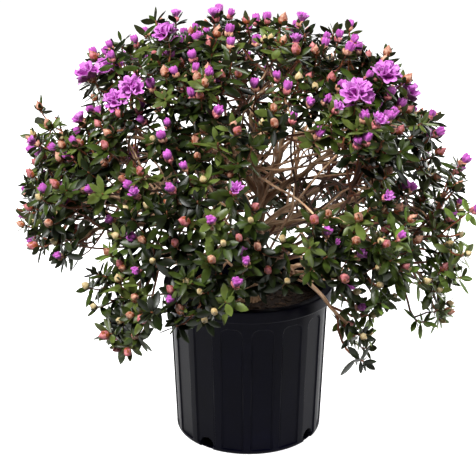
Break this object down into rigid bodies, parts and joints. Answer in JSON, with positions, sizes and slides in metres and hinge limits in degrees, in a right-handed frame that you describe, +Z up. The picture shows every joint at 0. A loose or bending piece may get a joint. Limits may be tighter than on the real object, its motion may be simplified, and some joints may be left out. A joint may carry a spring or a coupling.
{
  "type": "potted rhododendron",
  "caption": "Dwarf rhododendron in bud and early violet bloom, a rounded open crown on a short trunk, growing in a fluted black plastic nursery pot with a turned-down lip.",
  "frame": {"origin": "middle of the pot's flat underside", "axes": "+Z up along the pot's axis, -Y towards the picture's camera, +X to the picture's right"},
  "size_m": [0.7204, 0.6533, 0.6695],
  "materials": {
    "pot": "satin black",
    "potting_mix": "loose bark mix",
    "bark": "rough",
    "foliage": "leathery leaves"
  },
  "bodies": {
    "root": {"pot": "pot", "potting_mix": "potting_mix", "trunk": "bark", "bough_left_arm": "bark", "bough_left_front": "bark", "bough_front_left": "bark", "bough_front": "bark", "bough_front_right": "bark", "bough_hanging": "bark", "bough_right_front": "bark", "bough_right_low": "bark", "bough_right_arm": "bark", "bough_back_right": "bark", "bough_back": "bark", "bough_back_left": "bark", "bough_high_left": "bark", "bough_high_front": "bark", "bough_high_right": "bark", "bough_high_back": "bark", "bough_top_left": "bark", "bough_top_right": "bark", "leaves_left_arm_1": "foliage", "leaves_left_arm_2": "foliage", "leaves_left_front_1": "foliage", "leaves_left_front_2": "foliage", "leaves_front_left_1": "foliage", "leaves_front_left_2": "foliage", "leaves_front_1": "foliage", "leaves_front_2": "foliage", "leaves_front_right_1": "foliage", "leaves_front_right_2": "foliage", "leaves_hanging_1": "foliage", "leaves_right_front_1": "foliage", "leaves_right_front_2": "foliage", "leaves_right_low_1": "foliage", "leaves_right_low_2": "foliage", "leaves_right_arm_1": "foliage", "leaves_right_arm_2": "foliage", "leaves_back_right_1": "foliage", "leaves_back_right_2": "foliage", "leaves_back_right_3": "foliage", "leaves_back_1": "foliage", "leaves_back_2": "foliage", "leaves_back_3": "foliage", "leaves_back_left_1": "foliage", "leaves_back_left_2": "foliage", "leaves_back_left_3": "foliage", "leaves_high_left_1": "foliage", "leaves_high_left_2": "foliage", "leaves_high_front_1": "foliage", "leaves_high_front_2": "foliage", "leaves_high_right_1": "foliage", "leaves_high_right_2": "foliage", "leaves_high_back_1": "foliage", "leaves_high_back_2": "foliage", "leaves_top_left_1": "foliage", "leaves_top_left_2": "foliage", "leaves_top_right_1": "foliage", "leaves_top_right_2": "foliage"}
  },
  "joints": []
}
